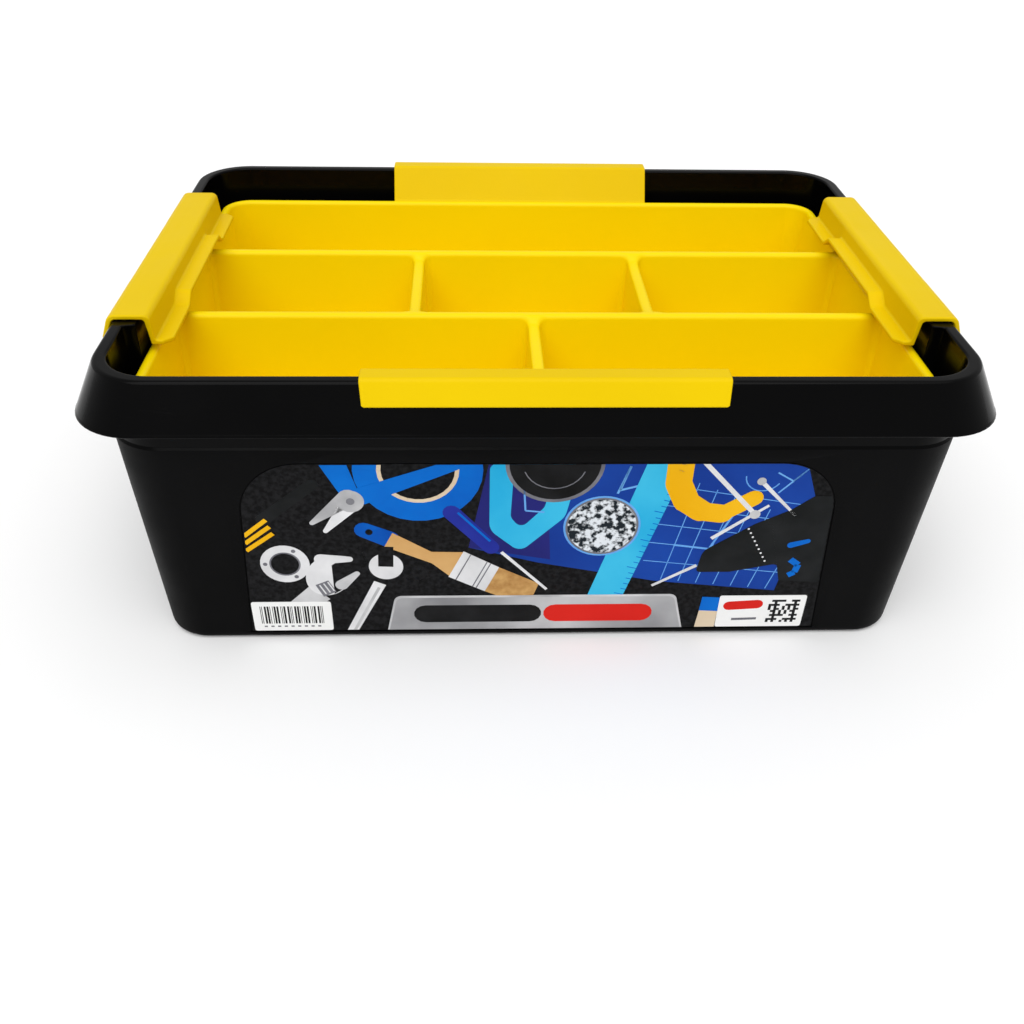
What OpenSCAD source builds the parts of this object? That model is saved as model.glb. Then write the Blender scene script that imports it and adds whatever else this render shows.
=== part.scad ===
// Toolbox with tray: a black tub with a flared rim, a yellow lift-out tray that hangs on the
// front and back rims, two yellow side clips, and a label with two stickers on the front face.
// Millimetres. The origin is the centre of the underside, +X runs to the right along the long
// side, +Y to the back and +Z up.

/* [Tub] */
// overall width over the flared skirt
box_width = 420; // [380:1:460]
// overall depth over the flared skirt
box_depth = 308; // [280:1:340]
// height of the rim's top face
tub_height = 155.3; // [140:0.1:170]
// corner radius of the skirt's lower edge
skirt_radius = 38; // [30:1:50]
// how far the skirt stands out beyond the rim's top edge
skirt_flare = 10; // [4:0.5:14]
// height of the skirt below the rim's top face
skirt_height = 22.6; // [14:0.2:30]
// thickness of the skirt
skirt_wall = 2.4; // [1.6:0.1:4]
// width of the flat rim between the wall and the skirt
rim_width = 5.8; // [4:0.2:8]
// how far the foot of the wall stands in from the rim's top edge
wall_draft = 10; // [4:0.5:14]
// thickness of the wall at its foot
tub_wall = 2.6; // [1.8:0.1:4]
// thickness of the floor
tub_floor = 3; // [2:0.1:5]
// rounding of the lower outside edge
foot_edge = 4; // [1:0.5:8]
// height of the smooth step below the skirt
band_height = 119; // [105:1:126]
// depth of the smooth step below the skirt
band_step = 0.8; // [0.4:0.1:1.6]

/* [Hand recesses] */
// length of each recess along the short side
recess_length = 180; // [120:2:190]
// how far the wall is set in at each recess
recess_depth = 5.6; // [2:0.2:8]
// height of the bottom of each recess
recess_bottom = 84; // [60:1:110]

/* [Tray] */
// width over the tray's lip
tray_width = 374.5; // [340:0.5:376]
// depth over the tray's lip
tray_depth = 253; // [220:1:262]
// height of the tray's lip above the tub's underside
tray_top = 139.5; // [120:0.5:145]
// height of the tray from its underside to its lip
tray_height = 55; // [30:1:80]
// corner radius of the lip
tray_radius = 17; // [10:1:24]
// width of the lip around the compartments
lip_width = 5; // [3.5:0.5:8]
// height of the lip's outside edge
lip_height = 5; // [3:0.5:10]
// thickness of the walls between and around the compartments, at their thinnest
divider_width = 6; // [4:0.5:10]
// how much lower the short dividers are than the lip
divider_drop = 4; // [0:0.5:10]
// slope of each compartment wall, measured over its full height
pocket_draft = 1.8; // [0.5:0.1:3]
// corner radius of the compartments at the top
pocket_radius = 10; // [8:0.5:14]
// slope between wall and floor of each compartment
pocket_fillet = 5; // [2:0.5:7]
// thickness of the tray's floor
tray_floor = 2.4; // [1.6:0.1:4]
// thickness of each side of a divider, which is hollow from below
divider_wall = 2.1; // [1.6:0.1:3]

/* [Hangers] */
// length of the front and back hangers
hanger_length = 161; // [100:1:200]
// thickness of the hangers and clips
hook_wall = 2.3; // [1.6:0.1:3]
// height of the hangers and clips over the rim, top to lower outside edge
hook_drop = 12; // [8:0.5:16]
// free space between a hook and the rim
hook_gap = 0.35; // [0.3:0.05:0.6]

/* [Side clips] */
// length of each clip
clip_length = 170; // [120:2:176]
// distance of the clip's inner leg from the middle of the box
clip_inner = 182.3; // [178:0.1:184]
// height of the ledge's top face
ledge_top = 145.2; // [142.5:0.1:148]
// how far the ledge reaches inward from the inner leg
ledge_reach = 8.2; // [4:0.2:12]
// rise of the finger grip in the middle of the ledge
grip_rise = 5; // [2:0.5:8]
// length of the finger grip
grip_length = 74; // [40:1:100]
// length of the slope at each end of the finger grip
grip_slope = 9; // [4:0.5:16]
// length of the shallower middle of the outer leg
relief_length = 80; // [40:1:120]
// height of the shallower middle of the outer leg
relief_height = 3.5; // [1:0.5:6]

/* [Label] */
// half width of the label at its lower edge
label_foot = 145; // [120:1:150]
// half width of the label at its upper edge
label_head = 138.5; // [110:0.5:150]
// height of the label's lower edge
label_bottom = 5; // [4.5:0.5:12]
// height of the label's upper edge
label_top = 111.5; // [90:0.5:116]
// radius of the label's upper corners
label_radius = 29; // [6:1:40]
// thickness of the label
label_thickness = 0.5; // [0.3:0.1:1]
// depth of the window the label sits in
window_depth = 0.8; // [0.5:0.1:1.2]
// thickness of each sticker
sticker_thickness = 0.25; // [0.2:0.05:0.5]
// width and height of the barcode sticker
bar_size = [40, 20]; // [10:1:60]
// middle of the barcode sticker, across and up
bar_centre = [-123.5, 15.5]; // [-130:0.5:130]
// width and height of the information sticker
info_size = [45, 22]; // [10:1:60]
// middle of the information sticker, across and up
info_centre = [116.5, 16.5]; // [-130:0.5:130]

/* [Hidden] */
$fn = 48;
eps = 0.01;
black = [0.03, 0.03, 0.03];
yellow = [0.96, 0.78, 0.04];

// Corner centres shared by every level of the tub.
corner = [box_width / 2 - skirt_radius, box_depth / 2 - skirt_radius];
rim_out = skirt_radius - skirt_flare;
rim_in = rim_out - rim_width;
foot_out = rim_out - wall_draft;
skirt_z = tub_height - skirt_height;
band_out = foot_out + wall_draft * band_height / tub_height;
lean = atan(wall_draft / tub_height);
cavity_z = tub_height - skirt_wall;

// Face of the tub's front wall, as the distance from the middle at a given height.
function face_y(z) = corner[1] + foot_out + wall_draft * z / tub_height;
// Outer face of the skirt at a given height, measured from the corner centres.
function skirt_at(z) = rim_out + skirt_flare * (tub_height - z) / skirt_height;

hook_under = tub_height + hook_gap;
hook_top = hook_under + hook_wall;
hook_foot = hook_top - hook_drop;

pocket_space = [tray_width - 2 * lip_width, tray_depth - 2 * lip_width];
row_depth = (pocket_space[1] - 2 * divider_width) / 3;
row_pitch = row_depth + divider_width;
third = (pocket_space[0] - 2 * divider_width) / 3;
half = (pocket_space[0] - divider_width) / 2;
tray_bottom = tray_top - tray_height;
body_inset = divider_width - lip_width + 2;

// A profile swept round a rounded rectangle whose corner centres are at (cx, cy).
module swept(cx, cy) {
  for (sx = [0, 1], sy = [0, 1])
    mirror([sx, 0, 0])
      mirror([0, sy, 0])
        translate([cx, cy, 0])
          rotate_extrude(angle = 90)
            children();
  for (s = [0, 1])
    mirror([s, 0, 0])
      translate([cx, cy, 0])
        rotate([90, 0, 0])
          linear_extrude(2 * cy)
            children();
  for (s = [0, 1])
    mirror([0, s, 0])
      translate([-cx, cy, 0])
        rotate([90, 0, 90])
          linear_extrude(2 * cx)
            children();
}

// A solid with the profile as its outside: the swept profile with its middle filled from z0 to z1.
module filled(cx, cy, z0, z1) {
  swept(cx, cy)
    children();
  translate([-cx, -cy, z0])
    cube([2 * cx, 2 * cy, z1 - z0]);
}

// Section of the tub's wall, rim and skirt.
module tub_section() {
  polygon([
    [0, 0],
    [foot_out - foot_edge, 0],
    [foot_out - foot_edge * 0.3, foot_edge * 0.3],
    [foot_out + wall_draft * foot_edge / tub_height, foot_edge],
    [band_out, band_height],
    [band_out - band_step, band_height + 2 * band_step],
    [rim_out - skirt_wall - 0.6, cavity_z - 1],
    [rim_out - skirt_wall, cavity_z],
    [skirt_radius - skirt_wall, skirt_z],
    [skirt_radius, skirt_z],
    [skirt_at(tub_height - 2.4), tub_height - 2.4],
    [rim_out - 0.3, tub_height - 0.7],
    [rim_out - 1.8, tub_height],
    [rim_in + 1.4, tub_height],
    [rim_in + 0.3, tub_height - 0.6],
    [rim_in, tub_height - 2],
    [rim_in - 0.2, band_height],
    [foot_out - tub_wall, tub_floor + 3],
    [foot_out - tub_wall - 3, tub_floor],
    [0, tub_floor]
  ]);
}

// Section of the set-in wall at a hand recess, flush with the rim; the right-hand side.
module recess_section(inset) {
  in_x = corner[0] + rim_in - recess_depth + inset;
  low = recess_bottom - inset;
  polygon([
    [in_x, cavity_z],
    [in_x - 0.5, low + 2 * recess_depth],
    [in_x + recess_depth + 1.5, low],
    [corner[0] + skirt_radius - skirt_wall, low],
    [corner[0] + skirt_radius - skirt_wall, skirt_z],
    [corner[0] + rim_out - skirt_wall, cavity_z]
  ]);
}

// Finger space of a hand recess, cut out of the wall from outside.
module recess_cut() {
  rotate([90, 0, 0])
    linear_extrude(recess_length - 2 * tub_wall, center = true)
      recess_section(tub_wall);
}

// Wall round the finger space, seen as a ledge inside the tub.
module recess_wall() {
  inner = corner[0] + rim_in - recess_depth;
  difference() {
    intersection() {
      union() {
        rotate([90, 0, 0])
          linear_extrude(recess_length, center = true)
            recess_section(0);
        translate([inner, -recess_length / 2, cavity_z - eps])
          cube([recess_depth + 1, recess_length, tub_height - cavity_z + eps]);
      }
      translate([0, -recess_length, 0])
        cube([corner[0] + rim_in + 1, 2 * recess_length, tub_height]);
    }
    recess_cut();
  }
}

// Outline of the label, drawn flat with the tub's foot line at zero.
module label_outline(grow) {
  side = (label_foot - label_head) / (label_top - label_bottom);
  shoulder = label_head + side * label_radius;
  shoulder_z = label_top - label_radius;
  tip = shoulder - label_radius;
  polygon([
    [-label_foot - grow, label_bottom - grow],
    [label_foot + grow, label_bottom - grow],
    [shoulder + grow, shoulder_z],
    [-shoulder - grow, shoulder_z]
  ]);
  for (s = [-1, 1])
    translate([s * tip, shoulder_z])
      circle(label_radius + grow);
  translate([-tip, shoulder_z - eps])
    square([2 * tip, label_radius + grow + eps]);
}

// Places a flat drawing on the leaning front wall, sunk by a given depth.
module on_front(depth, thickness) {
  translate([0, -face_y(0), 0])
    rotate([90 + lean, 0, 0])
      translate([0, 0, -depth])
        linear_extrude(thickness)
          children();
}

module tub() {
  color(black)
    difference() {
      union() {
        difference() {
          filled(corner[0], corner[1], 0, tub_floor)
            tub_section();
          for (s = [0, 1])
            mirror([s, 0, 0])
              recess_cut();
        }
        for (s = [0, 1])
          mirror([s, 0, 0])
            recess_wall();
      }
      on_front(window_depth, window_depth + 2)
        label_outline(0.6);
    }
}

// Section of one compartment.
module pocket_section() {
  r = pocket_radius;
  deep = tray_height - tray_floor;
  polygon([
    [0, -deep],
    [r - pocket_draft - pocket_fillet, -deep],
    [r - pocket_draft, -deep + pocket_fillet],
    [r, 0],
    [r, 1],
    [0, 1]
  ]);
}

// One compartment of a given width and depth, centred at its mouth.
module pocket(w, d) {
  filled(w / 2 - pocket_radius, d / 2 - pocket_radius, -(tray_height - tray_floor), 1)
    pocket_section();
}

// Lowers one short divider, with a slope up to the long dividers at both ends.
module divider_notch() {
  a = row_depth / 2 - 1.5;
  rotate([90, 0, 90])
    linear_extrude(divider_width + 4, center = true)
      polygon([
        [-a, 1],
        [-a, 0],
        [-a + 1.5 * divider_drop, -divider_drop],
        [a - 1.5 * divider_drop, -divider_drop],
        [a, 0],
        [a, 1]
      ]);
}

// Hollow under a divider, open at the tray's underside.
module divider_core(length) {
  foot = divider_width / 2 + pocket_draft - divider_wall;
  head = divider_width / 2 - divider_wall + 0.2;
  rotate([90, 0, 90])
    linear_extrude(length, center = true)
      polygon([
        [-foot, -1],
        [foot, -1],
        [head, tray_height - divider_drop - divider_wall],
        [-head, tray_height - divider_drop - divider_wall]
      ]);
}

// Section of the tray's outside: floor, drafted body and rounded lip.
module tray_section() {
  r = tray_radius;
  body = r - body_inset;
  polygon([
    [0, 0],
    [body - pocket_draft - 4, 0],
    [body - pocket_draft, 4],
    [body, tray_height - lip_height],
    [r - 0.4, tray_height - lip_height],
    [r, tray_height - lip_height + 1],
    [r, tray_height - 2.4],
    [r - 0.8, tray_height - 0.8],
    [r - 2.4, tray_height],
    [0, tray_height]
  ]);
}

// Section of a hanger over the front or back rim, the rim's side to the right.
module hanger_section() {
  y0 = corner[1];
  lip = tray_depth / 2;
  out_foot = y0 + skirt_at(hook_foot) + hook_gap;
  out_top = y0 + skirt_at(hook_under) + 2 * hook_gap;
  inner = y0 + rim_in - hook_gap - 0.3;
  polygon([
    [lip - lip_width + 1.2, tray_top - 3],
    [lip + 0.5, tray_top - 3],
    [inner, hook_under - 4],
    [inner + 1.2, hook_under],
    [out_top, hook_under],
    [out_foot, hook_foot],
    [out_foot + hook_wall, hook_foot],
    [out_foot + hook_wall + 0.2, hook_foot + 0.6],
    [out_top + hook_wall * 0.9, hook_under + 0.5],
    [out_top + 0.8, hook_top],
    [inner - 0.6, hook_top],
    [inner - hook_wall, hook_under + 0.4],
    [lip - 1.4, tray_top],
    [lip - lip_width + 1.2, tray_top]
  ]);
}

module tray() {
  color(yellow)
    difference() {
      union() {
        translate([0, 0, tray_bottom])
          filled(tray_width / 2 - tray_radius, tray_depth / 2 - tray_radius, 0, tray_height)
            tray_section();
        for (s = [0, 1])
          mirror([0, s, 0])
            translate([-hanger_length / 2, 0, 0])
              rotate([90, 0, 90])
                linear_extrude(hanger_length)
                  hanger_section();
      }
      translate([0, 0, tray_top]) {
        translate([0, row_pitch, 0])
          pocket(pocket_space[0], row_depth);
        for (i = [-1:1])
          translate([i * (third + divider_width), 0, 0])
            pocket(third, row_depth);
        for (i = [-1, 1])
          translate([i * (half + divider_width) / 2, -row_pitch, 0])
            pocket(half, row_depth);
        for (i = [-1, 1])
          translate([i * (third + divider_width) / 2, 0, 0])
            divider_notch();
        translate([0, -row_pitch, 0])
          divider_notch();
      }
      translate([0, 0, tray_bottom]) {
        for (i = [-1, 1])
          translate([0, i * row_pitch / 2, 0])
            divider_core(pocket_space[0] - 8);
        for (i = [-1, 1])
          translate([i * (third + divider_width) / 2, 0, 0])
            rotate([0, 0, 90])
              divider_core(row_depth + 2);
        translate([0, -row_pitch, 0])
          rotate([0, 0, 90])
            divider_core(row_depth + 2);
      }
    }
}

// Section of a side clip over the rim, without its ledge.
module clip_section() {
  x0 = corner[0];
  out_foot = x0 + skirt_at(hook_foot) + hook_gap;
  out_top = x0 + skirt_at(hook_under) + 2 * hook_gap;
  polygon([
    [clip_inner - 0.6, ledge_top - hook_wall],
    [clip_inner + 1.6, ledge_top - hook_wall],
    [clip_inner + 3, hook_under - 1],
    [clip_inner + 4, hook_under],
    [out_top, hook_under],
    [out_foot, hook_foot],
    [out_foot + hook_wall, hook_foot],
    [out_foot + hook_wall + 0.2, hook_foot + 0.6],
    [out_top + hook_wall * 0.9, hook_under + 0.5],
    [out_top + 0.8, hook_top],
    [clip_inner + 2, hook_top],
    [clip_inner + 0.6, hook_top - 1.2]
  ]);
}

// Ledge of a side clip seen along the width, raised in the middle for the fingers.
module ledge_section() {
  low = ledge_top;
  high = ledge_top + grip_rise;
  a = grip_length / 2;
  b = a + grip_slope;
  e = clip_length / 2;
  polygon([
    [-e, low - hook_wall],
    [-b, low - hook_wall],
    [-a, high - hook_wall],
    [a, high - hook_wall],
    [b, low - hook_wall],
    [e, low - hook_wall],
    [e, low],
    [b, low],
    [a, high],
    [-a, high],
    [-b, low],
    [-e, low]
  ]);
}

// The right-hand clip; the left one is its mirror image.
module side_clip() {
  ledge_in = clip_inner - ledge_reach;
  difference() {
    union() {
      rotate([90, 0, 0])
        linear_extrude(clip_length, center = true)
          clip_section();
      translate([ledge_in, 0, 0])
        rotate([90, 0, 90])
          linear_extrude(ledge_reach + 0.8)
            ledge_section();
    }
    translate([clip_inner + 15, -relief_length / 2, hook_foot - 1])
      cube([20, relief_length, 1 + relief_height]);
    for (s = [-1, 1])
      translate([ledge_in, s * clip_length / 2, ledge_top - 5])
        rotate([0, 0, 45])
          cube([6, 6, 20], center = true);
  }
}

module left_clip() {
  color(yellow)
    mirror([1, 0, 0])
      side_clip();
}

module right_clip() {
  color(yellow)
    side_clip();
}

module label() {
  color([0.16, 0.42, 0.66])
    on_front(window_depth, label_thickness)
      label_outline(0);
}

// A flat rectangular sticker on top of the label.
module sticker(size, centre) {
  on_front(window_depth - label_thickness, sticker_thickness)
    translate([centre[0] - size[0] / 2, centre[1] - size[1] / 2])
      square(size);
}

module barcode_sticker() {
  color([0.95, 0.95, 0.94])
    sticker(bar_size, bar_centre);
}

module info_sticker() {
  color([0.95, 0.95, 0.94])
    sticker(info_size, info_centre);
}

tub();
tray();
left_clip();
right_clip();
label();
barcode_sticker();
info_sticker();
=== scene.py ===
import math

import bpy
import bmesh
from mathutils import Matrix, Vector
from mathutils.geometry import delaunay_2d_cdt


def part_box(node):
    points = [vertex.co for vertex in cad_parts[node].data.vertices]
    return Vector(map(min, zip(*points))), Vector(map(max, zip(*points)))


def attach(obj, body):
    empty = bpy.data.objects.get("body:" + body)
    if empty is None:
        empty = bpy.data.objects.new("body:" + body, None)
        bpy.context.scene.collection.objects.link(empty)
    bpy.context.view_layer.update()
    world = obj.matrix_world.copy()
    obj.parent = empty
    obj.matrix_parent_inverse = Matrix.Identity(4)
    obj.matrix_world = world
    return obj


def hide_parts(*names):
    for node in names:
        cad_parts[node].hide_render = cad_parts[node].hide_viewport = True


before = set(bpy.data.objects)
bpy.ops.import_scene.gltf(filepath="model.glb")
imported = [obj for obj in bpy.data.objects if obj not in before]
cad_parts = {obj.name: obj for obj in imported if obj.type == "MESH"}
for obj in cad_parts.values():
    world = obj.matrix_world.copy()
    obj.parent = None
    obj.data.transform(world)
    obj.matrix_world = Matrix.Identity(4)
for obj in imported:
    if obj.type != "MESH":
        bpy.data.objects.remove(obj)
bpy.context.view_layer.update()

# Lengths below are in millimetres, in the CAD's frame; meshes are written in metres.
MM = 0.001


def box_mm(node):
    """Lowest and highest corner of a CAD node, in millimetres."""
    lo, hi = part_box(node)
    return lo / MM, hi / MM


tub_hi = box_mm("tub")[1]
tray_lo, tray_hi = box_mm("tray")
clip_lo, clip_hi = box_mm("right_clip")
bar_lo, bar_hi = box_mm("barcode_sticker")
info_lo, info_hi = box_mm("info_sticker")

TUB_TOP = tub_hi.z
# How far the foot, the rim's two edges and the skirt stand out beyond the corner centres.
FOOT_OUT, RIM_IN, RIM_OUT, SKIRT_OUT = 18, 22.2, 28, 38
CORNER_X = tub_hi.x - SKIRT_OUT
CORNER_Y = tub_hi.y - SKIRT_OUT
SKIRT_HIGH = 22.6
SKIRT_LOW = TUB_TOP - SKIRT_HIGH
BAND_Z = 119
LEAN = (RIM_OUT - FOOT_OUT) / TUB_TOP
# Hangers and clips share a wall thickness, a drop outside the rim and a gap to it.
HOOK_WALL = 2.3
HOOK_GAP = 0.35
HOOK_TOP = tray_hi.z
HOOK_UNDER = HOOK_TOP - HOOK_WALL
HOOK_FOOT = HOOK_TOP - 12
TRAY_HEIGHT = 55
TRAY_LOW = tray_lo.z
TRAY_TOP = TRAY_LOW + TRAY_HEIGHT
TRAY_X = tray_hi.x
# The CAD tray's box takes in the hangers, so its half depth is given here.
TRAY_Y = 126.5


# ---------------------------------------------------------------- geometry helpers

def smooth(t):
    """Smooth step from 0 to 1."""
    t = max(0.0, min(1.0, t))
    return t * t * (3 - 2 * t)


def fillet(points, closed=False, segments=5):
    """Path through (x, y, radius) corners, each corner rounded by an arc."""
    out = []
    n = len(points)
    for i, (x, y, r) in enumerate(points):
        if r <= 0 or (not closed and i in (0, n - 1)):
            out.append((x, y))
            continue
        p = Vector((x, y))
        a = Vector(points[i - 1][:2]) - p
        b = Vector(points[(i + 1) % n][:2]) - p
        reach = 0.49 * min(a.length, b.length)
        a.normalize()
        b.normalize()
        angle = a.angle(b)
        t = min(r / math.tan(angle / 2), reach)
        radius = t * math.tan(angle / 2)
        centre = p + (a + b).normalized() * (radius / math.sin(angle / 2))
        start = p + a * t - centre
        end = p + b * t - centre
        turn = start.angle(end) * (1 if start.x * end.y - start.y * end.x > 0 else -1)
        for k in range(segments + 1):
            c, s = math.cos(turn * k / segments), math.sin(turn * k / segments)
            out.append((centre.x + start.x * c - start.y * s, centre.y + start.x * s + start.y * c))
    return out


def quarter(r, steps):
    """Outward and downward offsets of a quarter round of radius r, from its flat top edge."""
    turns = [math.radians(90 * k / steps) for k in range(steps + 1)]
    return [(r * (1 - math.sin(a)), -r * (1 - math.cos(a))) for a in turns]


def inset(section, depth):
    """A closed counter-clockwise section with every point moved inward."""
    out = []
    n = len(section)
    for i in range(n):
        a, p, b = (Vector(section[(i + k) % n]) for k in (-1, 0, 1))
        u, v = p - a, b - p
        u = u.normalized() if u.length > 1e-9 else Vector((0, 0))
        v = v.normalized() if v.length > 1e-9 else Vector((0, 0))
        normal = Vector((-(u.y + v.y), u.x + v.x))
        if normal.length > 1e-9:
            p = p + normal.normalized() * depth
        out.append((p.x, p.y))
    return out


def rounded(hx, hy, radii, xs=(), ys=(), arc=8):
    """Counter-clockwise rounded rectangle with extra points at xs and ys along its sides.

    radii is one number, or four for the corners +x +y, -x +y, -x -y and +x -y.
    """
    out = [(hx, y) for y in ys]
    radii = radii if isinstance(radii, tuple) else (radii,) * 4
    corners = ((1, 1, 0), (-1, 1, 90), (-1, -1, 180), (1, -1, 270))
    back, left, front = ([(x, hy) for x in reversed(xs)], [(-hx, y) for y in reversed(ys)],
                         [(x, -hy) for x in xs])
    for (sx, sy, a0), more, r in zip(corners, (back, left, front, []), radii):
        for k in range(arc + 1):
            a = math.radians(a0 + 90 * k / arc)
            out.append((sx * (hx - r) + r * math.cos(a), sy * (hy - r) + r * math.sin(a)))
        out += more
    return out


class Shell:
    """Collects the points and faces of one mesh."""

    def __init__(self):
        self.points, self.faces, self.slots = [], [], []

    def ring(self, points):
        """Adds points and gives back their numbers."""
        start = len(self.points)
        self.points += points
        return list(range(start, start + len(points)))

    def bridge(self, a, b, slot=0):
        """Joins two rings of the same length with a band of quads."""
        for i in range(len(a)):
            j = (i + 1) % len(a)
            self.faces.append((a[i], a[j], b[j], b[i]))
            self.slots.append(slot)

    def cap(self, ring, slot=0):
        self.faces.append(tuple(ring))
        self.slots.append(slot)

    def loft(self, sections, slot=0):
        """Joins closed sections and closes both ends."""
        rings = [self.ring(s) for s in sections]
        for a, b in zip(rings, rings[1:]):
            self.bridge(a, b, slot)
        self.cap(rings[0], slot)
        self.cap(rings[-1], slot)

    def build(self, name, materials, sharp=38, weighted=True):
        """Makes the mesh object, smooth except across edges steeper than sharp degrees."""
        mesh = bpy.data.meshes.new(name)
        mesh.from_pydata([[c * MM for c in p] for p in self.points], [], self.faces)
        for m in materials:
            mesh.materials.append(m)
        for poly, slot in zip(mesh.polygons, self.slots):
            poly.material_index = slot
        bm = bmesh.new()
        bm.from_mesh(mesh)
        bmesh.ops.remove_doubles(bm, verts=bm.verts, dist=1e-6)
        bmesh.ops.recalc_face_normals(bm, faces=bm.faces)
        bm.to_mesh(mesh)
        bm.free()
        mesh.shade_smooth()
        mesh.set_sharp_from_angle(angle=math.radians(sharp))
        obj = bpy.data.objects.new(name, mesh)
        bpy.context.collection.objects.link(obj)
        if weighted:
            mod = obj.modifiers.new("even_shading", "WEIGHTED_NORMAL")
            mod.keep_sharp = True
            mod.weight = 60
        return obj


# ---------------------------------------------------------------- materials

class Nodes:
    """A new material and short calls to add and join its nodes."""

    def __init__(self, name):
        self.material = bpy.data.materials.new(name)
        self.material.use_nodes = True
        self.tree = self.material.node_tree
        self.shader = self.tree.nodes["Principled BSDF"]
        self.place = self.add("ShaderNodeTexCoord").outputs["Object"]

    def add(self, kind, **values):
        node = self.tree.nodes.new(kind)
        for key, value in values.items():
            if key in node.inputs:
                node.inputs[key].default_value = value
            else:
                setattr(node, key, value)
        return node

    def join(self, a, b):
        self.tree.links.new(a, b)

    def noise(self, scale, detail=2.0, stretch=None, rough=0.5):
        node = self.add("ShaderNodeTexNoise", Scale=scale, Detail=detail, Roughness=rough)
        source = self.place
        if stretch:
            mapping = self.add("ShaderNodeMapping", Scale=stretch)
            self.join(source, mapping.inputs["Vector"])
            source = mapping.outputs["Vector"]
        self.join(source, node.inputs["Vector"])
        return node.outputs["Fac"]

    def remap(self, value, a, b, c, d):
        node = self.add("ShaderNodeMapRange")
        for key, number in zip(("From Min", "From Max", "To Min", "To Max"), (a, b, c, d)):
            node.inputs[key].default_value = number
        self.join(value, node.inputs["Value"])
        return node.outputs["Result"]

    def math(self, operation, a, b):
        node = self.add("ShaderNodeMath", operation=operation)
        for socket, value in zip(node.inputs, (a, b)):
            if isinstance(value, (int, float)):
                socket.default_value = value
            else:
                self.join(value, socket)
        return node.outputs[0]

    def blend(self, factor, a, b):
        """Colour a where factor is 0 and colour b where it is 1."""
        node = self.add("ShaderNodeMix", data_type="RGBA")
        self.join(factor, node.inputs["Factor"])
        for index, colour in ((6, a), (7, b)):
            if isinstance(colour, tuple):
                node.inputs[index].default_value = (*colour, 1)
            else:
                self.join(colour, node.inputs[index])
        return node.outputs[2]

    def bump(self, height, distance, strength=1.0, after=None):
        node = self.add("ShaderNodeBump", Strength=strength, Distance=distance)
        self.join(height, node.inputs["Height"])
        if after is not None:
            self.join(after, node.inputs["Normal"])
        return node.outputs["Normal"]

    def colour(self, socket):
        self.join(socket, self.shader.inputs["Base Color"])

    def set(self, **values):
        for key, value in values.items():
            self.shader.inputs[key.replace("_", " ")].default_value = value


def moulded(name, colour, shade, gloss, grain, depth, scuff, specular):
    """Moulded plastic: faint flow marks in its colour, a fine grain, and uneven gloss.

    gloss is the lowest and highest roughness, grain the scale and depth the height in metres.
    """
    n = Nodes(name)
    flow = n.noise(9, 3)
    n.colour(n.blend(n.remap(flow, 0.35, 0.68, 0, 1), colour, shade))
    cloud = n.remap(n.noise(45, 4), 0.3, 0.7, gloss[0], gloss[1])
    marks = n.noise(70, 3, stretch=(1, 1, 9))
    cloud = n.math("ADD", cloud, n.remap(marks, 0.66, 0.78, 0, scuff))
    n.join(cloud, n.shader.inputs["Roughness"])
    wave = n.bump(n.noise(60, 2), 0.0006, 0.10)
    n.join(n.bump(n.noise(grain, 3), depth, 1.0, wave), n.shader.inputs["Normal"])
    n.set(Specular_IOR_Level=specular)
    return n.material


gloss_black = moulded(
    "black_gloss", (0.0008, 0.0008, 0.0009), (0.0014, 0.0014, 0.0015),
    gloss=(0.13, 0.2), grain=900, depth=0.00002, scuff=0.10, specular=0.07)
satin_black = moulded(
    "black_satin", (0.0016, 0.0016, 0.0017), (0.0028, 0.0028, 0.003),
    gloss=(0.42, 0.54), grain=2300, depth=0.00006, scuff=0.06, specular=0.04)
yellow = moulded(
    "yellow_plastic", (0.93, 0.70, 0.0004), (0.905, 0.672, 0.0003),
    gloss=(0.28, 0.38), grain=700, depth=0.00003, scuff=0.06, specular=0.10)
yellow_clip = moulded(
    "yellow_clip_plastic", (0.79, 0.55, 0.0004), (0.76, 0.52, 0.0003),
    gloss=(0.34, 0.44), grain=1200, depth=0.00004, scuff=0.06, specular=0.06)


# ---------------------------------------------------------------- tub

def corner_radius(u):
    """Corner radius of the tub's outside where it stands u beyond the corner centres."""
    if u < RIM_OUT:
        return 22 + 0.6 * (u - FOOT_OUT)
    return 28 + 0.35 * (u - RIM_OUT)


TUB_WALL = 2.6
TUB_FLOOR = 3
# Hand recess in each short side: where its face stands, half its length, where its slope starts.
RECESS_X = CORNER_X + RIM_IN - 5.6
RECESS_HALF = 90.4
RECESS_LOW = 84


def tub_point(x, y, z, u, part):
    """Moves a point of the tub inward where a hand recess sets the short side's wall in."""
    if part == "skirt" or abs(x) < CORNER_X:
        return (x, y, z)
    drop = 0.5 * (TUB_TOP - z) / 70
    if part == "inner":
        across = smooth((RECESS_HALF - abs(y)) / 1.8)
        along = smooth((z - RECESS_LOW) / 11)
        goal = RECESS_X + max(0, u - RIM_IN) - drop
    else:
        across = smooth((RECESS_HALF - TUB_WALL - abs(y)) / 1.8)
        along = smooth((z - RECESS_LOW + 2.5) / 11)
        goal = RECESS_X + TUB_WALL - drop
    moved = abs(x) + (goal - abs(x)) * across * along
    return (math.copysign(min(moved, abs(x)), x), y, z)


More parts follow.
